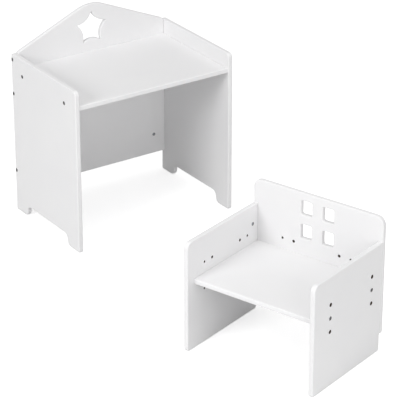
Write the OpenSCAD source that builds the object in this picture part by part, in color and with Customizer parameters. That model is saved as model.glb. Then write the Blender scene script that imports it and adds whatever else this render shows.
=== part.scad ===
// Children's desk and chair in painted board, each one assembled flat-pack style
// with hex-socket bolts, barrel nuts and wooden dowels.
// The desk stands square to the axes and faces -Y. The chair stands in front of it, turned.
// The origin is on the floor, in the middle of the box that holds both pieces.

/* [Board] */
// Thickness of every board
board_t = 15; // [14:0.5:18]

/* [Desk] */
// Width over both sides
desk_w = 550; // [500:5:570]
// Depth of a side
desk_d = 370; // [320:5:450]
// Height of a side
desk_side_h = 515; // [510:5:600]
// Height of the work surface
desk_top_z = 468; // [420:5:480]
// How far the top stands back from the front of the sides
desk_top_setback = 3; // [0:0.5:20]
// Radius of the upper front corner of a side
desk_corner_r = 14; // [6:1:30]
// Radius of the other corners of a side
desk_small_r = 6; // [2:1:10]
// Flat length of a foot
foot_flat = 50; // [30:1:60]
// Height of the arch between the feet
arch_h = 35; // [20:1:50]
// Height of the lower edge of the back panel
back_low_z = 70; // [40:1:120]
// Height where the two gable slopes would cross
gable_z = 629; // [620:1:680]
// Rise of the gable per millimetre of half width
gable_slope = 0.43; // [0.36:0.01:0.44]
// Radius of the gable's ridge
ridge_r = 118; // [60:5:130]
// Radius of the gable's shoulders
shoulder_r = 10; // [4:1:20]
// Height of the middle of the star
star_z = 541; // [536:1:546]
// Reach of a star point from the middle
star_tip = 52; // [45:1:55]
// Distance from the middle to the hollow between two points
star_hollow = 33; // [30:1:36]

/* [Chair] */
// Width over both sides
chair_w = 424; // [360:4:480]
// Depth of a side, without the backrest
chair_d = 320; // [300:5:360]
// Height of a side
chair_side_h = 328; // [300:1:360]
// Height of the top of the backrest
backrest_z = 400; // [380:1:450]
// Height of the lower edge of the backrest
backrest_low_z = 50; // [30:1:90]
// Radius of the backrest's upper corners
backrest_r = 26; // [10:1:40]
// Radius of the upper front corner of a side
chair_corner_r = 18; // [8:1:30]
// Radius of the lower corners of a side
chair_small_r = 8; // [2:1:12]
// Which row of holes the seat is bolted to
seat_row = 2; // [1:1:3]
// Height of the lowest row of holes
first_row_z = 166; // [140:2:166]
// Distance between the rows
row_pitch = 40; // [32:1:40]
// How far the seat stands back from the front of the sides
seat_setback = 27; // [0:1:30]
// Width of one window
window_w = 35; // [20:1:40]
// Height of one window
window_h = 41; // [20:1:44]
// Distance between the middles of two windows, both ways
window_pitch = 71; // [50:1:80]
// Height of the middle of the four windows
window_z = 320; // [314:1:322]
// Corner radius of a window
window_r = 4; // [1:0.5:8]

/* [Layout] */
// Middle of the chair's sides, to the left or right of the desk's middle
chair_x = -122; // [-400:2:400]
// Middle of the chair's sides, in front of the desk's middle
chair_y = -991; // [-1400:1:-700]
// Turn of the chair, seen from above
chair_turn = -71; // [-90:1:0]

/* [Hardware] */
// Diameter of a bolt's shank
bolt_d = 6; // [5:0.5:6]
// Diameter of a bolt's head
head_d = 10; // [9:0.5:10]
// Height of a bolt's head
head_h = 5.5; // [4:0.5:6]
// Diameter of a barrel nut
nut_d = 9.8; // [8:0.1:9.8]
// Diameter of a dowel
dowel_d = 8; // [6:0.5:8]
// Length of a dowel
dowel_l = 30; // [26:1:34]

/* [Hidden] */
$fn = 64;
cut = 1;                       // how far a cutter runs past the face that it opens
bolt_hole_d = 7;
sink_d = 11;                   // counterbore that takes a bolt's head
sink_depth = 7;
socket_af = 5;                 // across the flats of the hex socket
socket_depth = 3.5;
nut_hole_d = 10;
nut_hole_depth = 13;
nut_l = 12.4;
nut_thread_d = 6.2;
nut_slot_w = 1.4;
nut_slot_depth = 1.2;
dowel_hole_d = 8.2;
dowel_in_face = 10;            // share of a dowel that sits in the drilled face
dowel_in_edge = dowel_l - dowel_in_face;
dowel_play = 0.5;              // free length at each end of a dowel
desk_reach = 40;               // from a board's edge to its barrel nut, on the desk
chair_reach = 23;              // the same on the chair
tip_past_nut = 7;              // how far a bolt runs past the middle of its nut
hole_past_nut = 9;

// Desk, from its own middle on the floor
side_in = desk_w / 2 - board_t;                    // inner face of a side
back_in = desk_d / 2 - board_t;                    // front face of the back panel
top_mid_z = desk_top_z - board_t / 2;
top_front = -desk_d / 2 + desk_top_setback;
desk_top_bolt_y = [-121, 121];
desk_top_dowel_y = [-82, 82];
desk_back_bolt_y = desk_d / 2 - board_t / 2;
desk_back_bolt_z = [134, 387, 497];
desk_rear_dowel_x = [-150, 150];
slope_a = atan(gable_slope);
ogee_r = arch_h / 2;                               // both arcs of a foot's ogee
ogee_y = desk_d / 2 - foot_flat - ogee_r;          // where the ogee stands upright

// Chair, from the middle between its sides on the floor
chair_in = chair_w / 2 - board_t;
chair_back_y = chair_d / 2;                        // front face of the backrest
rows = [for (i = [0:2]) first_row_z + i * row_pitch];
seat_mid_z = rows[seat_row - 1];
seat_front = -chair_d / 2 + seat_setback;
seat_mid_y = (seat_front + chair_back_y) / 2;
seat_bolt_y = [seat_mid_y - 98.5, seat_mid_y + 98.5];
seat_dowel_y = [seat_mid_y - 64, seat_mid_y + 64];
seat_bolt_x = [-112, 112];
seat_dowel_x = [-75, 75];
backrest_bolt_x = chair_w / 2 - board_t / 2;
backrest_bolt_z = [110, 272];
backrest_small_r = 4;

// Shift that brings the middle of both pieces' box to the origin
chair_corners = [for (x = [-chair_w / 2, chair_w / 2], y = [-chair_d / 2, chair_d / 2 + board_t])
    [chair_x + x * cos(chair_turn) - y * sin(chair_turn),
     chair_y + x * sin(chair_turn) + y * cos(chair_turn)]];
all_x = concat([-desk_w / 2, desk_w / 2], [for (p = chair_corners) p[0]]);
all_y = concat([-desk_d / 2, desk_d / 2], [for (p = chair_corners) p[1]]);
shift = [-(min(all_x) + max(all_x)) / 2, -(min(all_y) + max(all_y)) / 2, 0];

// Placing

module place_desk() translate(shift) children();

module place_chair() translate(shift + [chair_x, chair_y, 0]) rotate([0, 0, chair_turn]) children();

// Stands a flat outline, drawn as depth and height, up in the plane of a side board.
// The board's outer face is at x = outer and its body lies towards the middle.
module side_board(outer) translate([outer, 0, 0]) rotate([90, 0, 90]) linear_extrude(board_t) children();

// The same for a board that stands across, with its front face at y = front.
module cross_board(front) translate([0, front + board_t, 0]) rotate([90, 0, 0]) linear_extrude(board_t) children();

// Axis helpers: the child points along +Z and ends up along the named direction.
module along_x(p) translate(p) rotate([0, 90, 0]) children();
module against_x(p) translate(p) rotate([0, -90, 0]) children();
module along_y(p) translate(p) rotate([-90, 0, 0]) children();
module against_y(p) translate(p) rotate([90, 0, 0]) children();

// Flat outlines

// What a rounding takes off a square corner that points to the lower left
module corner_waste(r) difference() {
    translate([-cut, -cut]) square(r + cut);
    translate([r, r]) circle(r);
}

module rounded_rectangle(size, r) difference() {
    translate(-size / 2) square(size);
    for (sx = [-1, 1], sy = [-1, 1]) scale_sign(sx, sy) translate(-size / 2) corner_waste(r);
}

module scale_sign(sx, sy) mirror([sx < 0 ? 1 : 0, 0]) mirror([0, sy < 0 ? 1 : 0]) children();

// Opening between the two feet: an arch with an ogee of two quarter circles at each end
module foot_arch() {
    translate([-ogee_y + ogee_r, -cut]) square([2 * (ogee_y - ogee_r), arch_h + cut]);
    translate([-ogee_y, -cut]) square([2 * ogee_y, ogee_r + cut]);
    for (s = [-1, 1]) {
        translate([s * (ogee_y - ogee_r), ogee_r]) circle(ogee_r);
        scale_sign(s, 1) difference() {
            translate([ogee_y - cut, -cut]) square([ogee_r + cut, ogee_r + cut]);
            translate([ogee_y + ogee_r, ogee_r]) circle(ogee_r);
        }
    }
}

module desk_side_outline() difference() {
    translate([-desk_d / 2, 0]) square([desk_d, desk_side_h]);
    foot_arch();
    translate([-desk_d / 2, 0]) corner_waste(desk_small_r);
    translate([desk_d / 2, 0]) mirror([1, 0]) corner_waste(desk_small_r);
    translate([-desk_d / 2, desk_side_h]) mirror([0, 1]) corner_waste(desk_corner_r);
    translate([desk_d / 2, desk_side_h]) mirror([1, 0]) mirror([0, 1]) corner_waste(desk_small_r);
}

// Pentagon whose sides are hollowed by arcs, with its points blunted where the cutter turns
module star() {
    sharp = star_tip + 4;
    half_chord = sharp * sin(36);
    hollow = sharp * cos(36) - star_hollow;
    arc_r = (half_chord * half_chord + hollow * hollow) / (2 * hollow);
    intersection() {
        circle(star_tip);
        difference() {
            polygon([for (i = [0:4]) sharp * [cos(90 + 72 * i), sin(90 + 72 * i)]]);
            for (i = [0:4]) rotate(54 + 72 * i) translate([star_hollow + arc_r, 0]) circle(arc_r);
        }
    }
}

module gable_outline() {
    ridge = [ridge_r * sin(slope_a), gable_z - ridge_r * gable_slope * sin(slope_a)];
    shoulder = [side_in - shoulder_r,
        gable_z - gable_slope * (side_in - shoulder_r) - shoulder_r / cos(slope_a)];
    shoulder_end = shoulder + shoulder_r * [sin(slope_a), cos(slope_a)];
    polygon([[-side_in, back_low_z], [side_in, back_low_z], [side_in, shoulder[1]],
        shoulder_end, ridge, [-ridge[0], ridge[1]],
        [-shoulder_end[0], shoulder_end[1]], [-side_in, shoulder[1]]]);
    translate([0, gable_z - ridge_r / cos(slope_a)]) circle(ridge_r);
    for (s = [-1, 1]) translate([s * shoulder[0], shoulder[1]]) circle(shoulder_r);
}

module chair_side_outline() difference() {
    translate([-chair_d / 2, 0]) square([chair_d, chair_side_h]);
    translate([-chair_d / 2, 0]) corner_waste(chair_small_r);
    translate([chair_d / 2, 0]) mirror([1, 0]) corner_waste(chair_small_r);
    translate([-chair_d / 2, chair_side_h]) mirror([0, 1]) corner_waste(chair_corner_r);
}

module backrest_outline() difference() {
    translate([-chair_w / 2, backrest_low_z]) square([chair_w, backrest_z - backrest_low_z]);
    for (s = [-1, 1]) {
        scale_sign(s, 1) translate([-chair_w / 2, backrest_z]) mirror([0, 1]) corner_waste(backrest_r);
        scale_sign(s, 1) translate([-chair_w / 2, backrest_low_z]) corner_waste(backrest_small_r);
    }
    for (sx = [-1, 1], sz = [-1, 1])
        translate([sx * window_pitch / 2, window_z + sz * window_pitch / 2])
            rounded_rectangle([window_w, window_h], window_r);
}

// Drillings. Each points along +Z, into the board, with its mouth at the origin.

// Right through the board, with a counterbore for the head
module bolt_bore() {
    translate([0, 0, -cut]) cylinder(d = bolt_hole_d, h = board_t + 2 * cut);
    translate([0, 0, -cut]) cylinder(d = sink_d, h = sink_depth + cut);
}

// Into a board's edge, as far as the end of the bolt
module edge_bore(reach) translate([0, 0, -cut]) cylinder(d = bolt_hole_d, h = reach + hole_past_nut + cut);

module nut_bore() translate([0, 0, -cut]) cylinder(d = nut_hole_d, h = nut_hole_depth + cut);

module dowel_bore(depth) translate([0, 0, -cut]) cylinder(d = dowel_hole_d, h = depth + dowel_play + cut);

// Hardware

// Hex-socket bolt along +Z, with the outer face of the board that it holds at z = 0
module bolt(reach) color("silver") difference() {
    union() {
        translate([0, 0, sink_depth - head_h]) cylinder(d = head_d, h = head_h);
        cylinder_from(bolt_d, sink_depth, board_t + reach + tip_past_nut);
    }
    translate([0, 0, sink_depth - head_h - cut])
        cylinder(d = socket_af / cos(30), h = socket_depth + cut, $fn = 6);
}

module cylinder_from(d, low, high) translate([0, 0, low]) cylinder(d = d, h = high - low);

// Barrel nut along +Z, slotted face at the mouth of its hole, threaded across for a bolt along X
module barrel_nut() color("lightgray") difference() {
    translate([0, 0, nut_hole_depth - nut_l]) cylinder(d = nut_d, h = nut_l);
    translate([-nut_d, 0, board_t / 2]) rotate([0, 90, 0]) cylinder(d = nut_thread_d, h = 2 * nut_d);
    translate([-nut_d, -nut_slot_w / 2, -cut])
        cube([2 * nut_d, nut_slot_w, nut_hole_depth - nut_l + nut_slot_depth + cut]);
}

// Dowel along +Z, with the face that it crosses at z = 0
module dowel() color("burlywood") cylinder_from(dowel_d, -dowel_in_face, dowel_in_edge);

// Desk boards. The right side is the left one mirrored.

module desk_side() color("white") difference() {
    side_board(-desk_w / 2) desk_side_outline();
    for (z = desk_back_bolt_z) along_x([-desk_w / 2, desk_back_bolt_y, z]) bolt_bore();
    for (y = desk_top_bolt_y) along_x([-desk_w / 2, y, top_mid_z]) bolt_bore();
    for (y = desk_top_dowel_y) against_x([-side_in, y, top_mid_z]) dowel_bore(dowel_in_face);
}

module desk_back_panel() color("white") difference() {
    cross_board(back_in) difference() {
        gable_outline();
        translate([0, star_z]) star();
    }
    for (s = [-1, 1], i = [0:2]) {
        z = desk_back_bolt_z[i];
        mirror([s > 0 ? 1 : 0, 0, 0]) {
            along_x([-side_in, desk_back_bolt_y, z]) edge_bore(desk_reach);
            // the highest nut goes in from behind, where it doesn't show above the top
            if (i < 2) along_y([-side_in + desk_reach, back_in, z]) nut_bore();
            else against_y([-side_in + desk_reach, desk_d / 2, z]) nut_bore();
        }
    }
    for (x = desk_rear_dowel_x) along_y([x, back_in, top_mid_z]) dowel_bore(dowel_in_face);
}

module desk_top() color("white") difference() {
    translate([-side_in, top_front, desk_top_z - board_t]) cube([2 * side_in, back_in - top_front, board_t]);
    for (s = [0, 1]) mirror([s, 0, 0]) {
        for (y = desk_top_bolt_y) {
            along_x([-side_in, y, top_mid_z]) edge_bore(desk_reach);
            translate([-side_in + desk_reach, y, desk_top_z - board_t]) nut_bore();
        }
        for (y = desk_top_dowel_y) along_x([-side_in, y, top_mid_z]) dowel_bore(dowel_in_edge);
    }
    for (x = desk_rear_dowel_x) against_y([x, back_in, top_mid_z]) dowel_bore(dowel_in_edge);
}

// Desk hardware, drawn for the left

module desk_bolts() {
    for (z = desk_back_bolt_z) along_x([-desk_w / 2, desk_back_bolt_y, z]) bolt(desk_reach);
    for (y = desk_top_bolt_y) along_x([-desk_w / 2, y, top_mid_z]) bolt(desk_reach);
}

module desk_top_nuts() for (y = desk_top_bolt_y)
    translate([-side_in + desk_reach, y, desk_top_z - board_t]) barrel_nut();

module desk_back_nuts() for (i = [0:2])
    if (i < 2) along_y([-side_in + desk_reach, back_in, desk_back_bolt_z[i]]) barrel_nut();
    else against_y([-side_in + desk_reach, desk_d / 2, desk_back_bolt_z[i]]) barrel_nut();

module desk_side_dowels() for (y = desk_top_dowel_y) along_x([-side_in, y, top_mid_z]) dowel();

// Chair boards. The right side is the left one mirrored.

module chair_side() color("white") difference() {
    side_board(-chair_w / 2) chair_side_outline();
    for (z = rows) {
        for (y = seat_bolt_y) along_x([-chair_w / 2, y, z]) bolt_bore();
        for (y = seat_dowel_y) against_x([-chair_in, y, z]) dowel_bore(dowel_in_face);
    }
    for (z = backrest_bolt_z) {
        against_y([-backrest_bolt_x, chair_back_y, z]) edge_bore(chair_reach);
        against_x([-chair_in, chair_back_y - chair_reach, z]) nut_bore();
    }
}

module chair_backrest() color("white") difference() {
    cross_board(chair_back_y) backrest_outline();
    for (z = rows) {
        for (x = seat_bolt_x) against_y([x, chair_back_y + board_t, z]) bolt_bore();
        for (x = seat_dowel_x) along_y([x, chair_back_y, z]) dowel_bore(dowel_in_face);
    }
    for (s = [-1, 1], z = backrest_bolt_z)
        against_y([s * backrest_bolt_x, chair_back_y + board_t, z]) bolt_bore();
}

module chair_seat() color("white") difference() {
    translate([-chair_in, seat_front, seat_mid_z - board_t / 2])
        cube([2 * chair_in, chair_back_y - seat_front, board_t]);
    for (s = [0, 1]) mirror([s, 0, 0]) {
        for (y = seat_bolt_y) {
            along_x([-chair_in, y, seat_mid_z]) edge_bore(chair_reach);
            translate([-chair_in + chair_reach, y, seat_mid_z - board_t / 2]) nut_bore();
        }
        for (y = seat_dowel_y) along_x([-chair_in, y, seat_mid_z]) dowel_bore(dowel_in_edge);
    }
    for (x = seat_bolt_x) {
        against_y([x, chair_back_y, seat_mid_z]) edge_bore(chair_reach);
        translate([x, chair_back_y - chair_reach, seat_mid_z - board_t / 2]) nut_bore();
    }
    for (x = seat_dowel_x) against_y([x, chair_back_y, seat_mid_z]) dowel_bore(dowel_in_edge);
}

// Chair hardware. The side bolts, nuts and dowels are drawn for the left.

module chair_side_bolts() for (y = seat_bolt_y) along_x([-chair_w / 2, y, seat_mid_z]) bolt(chair_reach);

module chair_rear_seat_bolts() for (x = seat_bolt_x)
    against_y([x, chair_back_y + board_t, seat_mid_z]) bolt(chair_reach);

module chair_rear_side_bolts() for (s = [-1, 1], z = backrest_bolt_z)
    against_y([s * backrest_bolt_x, chair_back_y + board_t, z]) bolt(chair_reach);

module chair_seat_nuts() {
    for (s = [0, 1], y = seat_bolt_y) mirror([s, 0, 0])
        translate([-chair_in + chair_reach, y, seat_mid_z - board_t / 2]) barrel_nut();
    for (x = seat_bolt_x)
        translate([x, chair_back_y - chair_reach, seat_mid_z - board_t / 2]) rotate([0, 0, 90]) barrel_nut();
}

module chair_side_nuts() for (s = [0, 1], z = backrest_bolt_z) mirror([s, 0, 0])
    against_x([-chair_in, chair_back_y - chair_reach, z]) rotate([0, 0, 90]) barrel_nut();

module chair_side_dowels() for (y = seat_dowel_y) along_x([-chair_in, y, seat_mid_z]) dowel();

module chair_rear_dowels() for (x = seat_dowel_x) against_y([x, chair_back_y, seat_mid_z]) dowel();

module to_right() mirror([1, 0, 0]) children();

place_desk() desk_side();  // desk_left_side
place_desk() to_right() desk_side();  // desk_right_side
place_desk() desk_back_panel();
place_desk() desk_top();
place_desk() desk_bolts();  // desk_left_bolts
place_desk() to_right() desk_bolts();  // desk_right_bolts
place_desk() {  // desk_top_barrel_nuts
    desk_top_nuts();
    to_right() desk_top_nuts();
}
place_desk() {  // desk_back_barrel_nuts
    desk_back_nuts();
    to_right() desk_back_nuts();
}
place_desk() desk_side_dowels();  // desk_left_dowels
place_desk() to_right() desk_side_dowels();  // desk_right_dowels
place_desk()  // desk_rear_dowels
    for (x = desk_rear_dowel_x) against_y([x, back_in, top_mid_z]) dowel();
place_chair() chair_side();  // chair_left_side
place_chair() to_right() chair_side();  // chair_right_side
place_chair() chair_backrest();
place_chair() chair_seat();
place_chair() chair_side_bolts();  // chair_left_bolts
place_chair() to_right() chair_side_bolts();  // chair_right_bolts
place_chair() chair_rear_seat_bolts();
place_chair() chair_rear_side_bolts();
place_chair() chair_seat_nuts();  // chair_seat_barrel_nuts
place_chair() chair_side_nuts();  // chair_side_barrel_nuts
place_chair() chair_side_dowels();  // chair_left_dowels
place_chair() to_right() chair_side_dowels();  // chair_right_dowels
place_chair() chair_rear_dowels();
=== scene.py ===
import math

import bmesh
import bpy
from mathutils import Matrix, Vector


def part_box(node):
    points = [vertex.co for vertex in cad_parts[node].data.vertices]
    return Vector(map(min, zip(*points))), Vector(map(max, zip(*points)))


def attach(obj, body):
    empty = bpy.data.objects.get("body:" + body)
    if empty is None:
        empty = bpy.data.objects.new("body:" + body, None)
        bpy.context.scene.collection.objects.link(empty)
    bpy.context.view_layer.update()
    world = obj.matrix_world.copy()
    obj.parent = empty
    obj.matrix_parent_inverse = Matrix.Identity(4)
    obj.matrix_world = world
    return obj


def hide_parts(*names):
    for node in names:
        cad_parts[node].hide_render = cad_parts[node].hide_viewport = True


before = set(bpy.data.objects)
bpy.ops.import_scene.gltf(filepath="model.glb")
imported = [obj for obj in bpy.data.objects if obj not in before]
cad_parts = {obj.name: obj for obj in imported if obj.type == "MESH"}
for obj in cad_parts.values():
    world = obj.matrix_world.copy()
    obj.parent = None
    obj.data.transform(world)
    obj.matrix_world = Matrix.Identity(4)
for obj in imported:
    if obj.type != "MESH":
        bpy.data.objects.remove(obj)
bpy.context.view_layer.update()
scene = bpy.context.scene
MM = 0.001

# ---- Where the desk and the chair stand --------------------------------------------
# Both pieces of furniture are built upright on the floor, each from its own middle.
# The desk is square to the room, and the chair in front of it is turned to the left.


def standing_between(left, right, turn):
    """Matrix from a piece's own middle, on the floor between two mirrored boards, to the room."""
    corners = [*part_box(left), *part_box(right)]
    middle = [(min(c[i] for c in corners) + max(c[i] for c in corners)) / 2 for i in (0, 1)]
    return Matrix.Translation((*middle, 0)) @ Matrix.Rotation(turn, 4, "Z")


def own_box(node, place):
    """Lowest and highest corner of a board, along the axes of its own desk or chair."""
    points = [place.inverted() @ v.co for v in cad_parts[node].data.vertices]
    return [Vector([pick(p[i] for p in points) for i in range(3)]) for pick in (min, max)]


CHAIR_TURN = math.radians(-71)
desk_place = standing_between("desk_left_side", "desk_right_side", 0)
chair_place = standing_between("chair_left_side", "chair_right_side", CHAIR_TURN)

# ---- Camera ------------------------------------------------------------------------
# A long lens, almost seven metres away to the front left of the desk and well above it,
# so that both pieces show their tops and the faces on their left.

CAMERA_SPOT = Vector((-3.223, -5.184, 2.946))  # metres, from the middle of the desk's footprint
LOOKS_DOWN, LOOKS_RIGHT = math.radians(25.56), math.radians(34.06)
camera = bpy.data.objects.new("camera", bpy.data.cameras.new("camera"))
camera.data.lens = 197.5
camera.location = desk_place @ CAMERA_SPOT
camera.rotation_euler = (math.radians(90) - LOOKS_DOWN, 0, -LOOKS_RIGHT)
scene.collection.objects.link(camera)
scene.camera = camera

# ---- Desk sides --------------------------------------------------------------------
# Two upright boards of 15 mm fibreboard, sawn with a foot at each end and an arch between.
# Every edge is rounded over by a router, then the board is sanded and sprayed white.
# Bolts go in from outside through counterbores; dowel holes are drilled in the inner face.

ROUND_OVER = 3 * MM  # router bit on an edge that shows
SQUARE_EDGE = 0.5 * MM  # arris taken off an edge that meets another board
ARC_STEP = math.radians(6)
CRISP = math.radians(35)  # a fold sharper than this keeps its edge
CLOSE = 0.05 * MM  # points nearer than this are one point


def rounded(corners):
    """Closed outline through (x, y, radius) corners, each turned by a tangent arc."""
    outline = []
    for i, (x, y, radius) in enumerate(corners):
        corner = Vector((x, y))
        back = (Vector(corners[i - 1][:2]) - corner).normalized()
        ahead = (Vector(corners[(i + 1) % len(corners)][:2]) - corner).normalized()
        half = back.angle(ahead) / 2
        centre = corner + (back + ahead).normalized() * (radius / math.sin(half))
        start = corner + back * (radius / math.tan(half)) - centre
        end = corner + ahead * (radius / math.tan(half)) - centre
        turn = (math.atan2(end.y, end.x) - math.atan2(start.y, start.x) + math.pi) % math.tau - math.pi
        steps = math.ceil(abs(turn) / ARC_STEP) if radius else 0
        for k in range(steps + 1):
            point = centre + Matrix.Rotation(turn * k / max(steps, 1), 2) @ start if radius else corner
            if not outline or (point - outline[-1]).length > CLOSE:
                outline.append(point)
    return outline


def inset(outline, radii, share):
    """The outline moved in from each of its edges by that edge's radius times share.

    Edge i runs to point i, and the outline's right-hand side is the open air.
    """
    moved = []
    for i, point in enumerate(outline):
        k = (i + 1) % len(outline)
        back = (point - outline[i - 1]).normalized()
        ahead = (outline[k] - point).normalized()
        air = [Vector((back.y, -back.x)), Vector((ahead.y, -ahead.x))]
        bend = air[0].dot(air[1])  # cosine of the turn; the exact corner is lost on an almost straight run
        if bend > 0.98:
            shift = (air[0] + air[1]) / (1 + bend) * (radii[i] + radii[k]) / 2
        else:
            shift = air[0] * (radii[i] - radii[k] * bend) + air[1] * (radii[k] - radii[i] * bend)
            shift /= 1 - bend ** 2
        moved.append(point - shift * share)
    return moved


def rounded_slab(across, low, high, outline, windows=(), ease=lambda a, b: ROUND_OVER):
    """Closed slab between two heights of one axis, its outline and windows rounded over on both faces.

    The outline runs anticlockwise in the other two axes, and ease gives the radius along an edge of it.
    """
    slab = bmesh.new()
    arc = [math.radians(a) for a in range(90, -1, -15)]
    rims = [[], []]
    for loop in [outline, *[list(reversed(w)) for w in windows]]:
        radii = [ease(loop[i - 1], loop[i]) for i in range(len(loop))]
        deepest = [max(radii[i], radii[(i + 1) % len(loop)]) for i in range(len(loop))]
        rings = []
        for face, angles in ((0, arc), (1, reversed(arc))):
            for a in angles:
                points = inset(loop, radii, 1 - math.cos(a))
                depths = [r * (1 - math.sin(a)) for r in deepest]
                levels = [high - d if face else low + d for d in depths]
                rings.append([slab.verts.new(spread(across, p, w)) for p, w in zip(points, levels)])
        for lower, upper in zip(rings, rings[1:]):
            for i in range(len(loop)):
                slab.faces.new((lower[i - 1], lower[i], upper[i], upper[i - 1]))
        rims[0].append(rings[0])
        rims[1].append(rings[-1])
    for face in (0, 1):
        edges = [slab.edges.get((ring[i - 1], ring[i])) for ring in rims[face] for i in range(len(ring))]
        bmesh.ops.triangle_fill(slab, edges=edges, use_beauty=True, use_dissolve=False)
    bmesh.ops.recalc_face_normals(slab, faces=slab.faces)
    return slab


def spread(across, point, height):
    """Puts a point of an outline, and its height along one axis, into three axes."""
    values = list(point)
    values.insert("XYZ".index(across), height)
    return values


def into(point, direction):
    """Matrix that puts +Z along a direction from a point: the way that a drill goes in."""
    return Matrix.Translation(point) @ Vector(direction).to_track_quat("Z", "Y").to_matrix().to_4x4()


def drill(bores, profile, place, sides=40):
    """Adds a closed turned cutter to bores, from (radius, depth) pairs in millimetres."""
    rings = []
    for radius, depth in profile:
        ring = [Vector((radius * math.cos(a), radius * math.sin(a), depth)) * MM
                for a in (math.tau * k / sides for k in range(sides))]
        rings.append([bores.verts.new(place @ p) for p in ring])
    for upper, lower in zip(rings, rings[1:]):
        for k in range(sides):
            bores.faces.new((upper[k - 1], upper[k], lower[k], lower[k - 1]))
    bores.faces.new(rings[0])
    bores.faces.new(rings[-1])


def as_object(name, mesh_data):
    mesh = bpy.data.meshes.new(name)
    bmesh.ops.recalc_face_normals(mesh_data, faces=mesh_data.faces)
    mesh_data.to_mesh(mesh)
    mesh_data.free()
    thing = bpy.data.objects.new(name, mesh)
    scene.collection.objects.link(thing)
    return thing


def bake_modifiers(thing):
    """Turns the evaluated shape into the object's own plain mesh."""
    depsgraph = bpy.context.evaluated_depsgraph_get()
    mesh = bpy.data.meshes.new_from_object(thing.evaluated_get(depsgraph))
    thing.modifiers.clear()
    thing.data = mesh
    mesh.name = thing.name


def finished_board(name, across, slab, cutters, place, paint):
    """Drills a painted slab, marks its worked edges, and stands it in its place in the room."""
    board = as_object(name, slab)
    board.data.materials.append(paint)
    for cutter in cutters:
        tool = as_object("cutter", cutter)
        # the bore walls take the cutter's fibreboard, whose dark colour is partly painted shade
        tool.data.materials.append(bore_fibreboard_and_shade)
        cut = board.modifiers.new("bore", "BOOLEAN")
        cut.operation, cut.solver, cut.object = "DIFFERENCE", "EXACT", tool
        cut.material_mode = "TRANSFER"
        bake_modifiers(board)
        bpy.data.objects.remove(tool)
    mesh = board.data
    worked = [0.0] * len(mesh.vertices)
    for p in mesh.polygons:
        if abs(p.normal["XYZ".index(across)]) < 0.999:  # all but the two flat faces
            for v in p.vertices:
                worked[v] = 1.0
    mesh.attributes.new("worked_edge", "FLOAT", "POINT").data.foreach_set("value", worked)
    mesh.polygons.foreach_set("use_smooth", [True] * len(mesh.polygons))
    mesh.set_sharp_from_angle(angle=CRISP)
    board.modifiers.new("flat faces stay flat", "WEIGHTED_NORMAL").keep_sharp = True
    bake_modifiers(board)
    board.data.transform(place)
    return board


def stands_for(piece, node, body):
    """The piece moves with a body, and takes the place of a design node, which is hidden."""
    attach(piece, body)
    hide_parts(node)


def linear(hex_colour):
    """Linear colour from an sRGB hex value."""
    parts = [int(hex_colour[i:i + 2], 16) / 255 for i in (1, 3, 5)]
    return (*[c / 12.92 if c < 0.04045 else ((c + 0.055) / 1.055) ** 2.4 for c in parts], 1)


def feed(tree, node, links):
    """Gives a node's inputs a socket, another node's first output, or a plain value."""
    for name, value in links.items():
        if isinstance(value, bpy.types.Node):
            value = value.outputs[0]
        if isinstance(value, bpy.types.NodeSocket):
            tree.links.new(value, node.inputs[name])
        else:
            node.inputs[name].default_value = value


def add(tree, kind, links=None, **settings):
    """Adds a node, applies its settings, and feeds its inputs."""
    node = tree.nodes.new(kind)
    for name, value in settings.items():
        setattr(node, name, value)
    feed(tree, node, links or {})
    return node


def new_material(name):
    material = bpy.data.materials.new(name)
    material.use_nodes = True
    material.node_tree.nodes.clear()
    return material, material.node_tree


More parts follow.
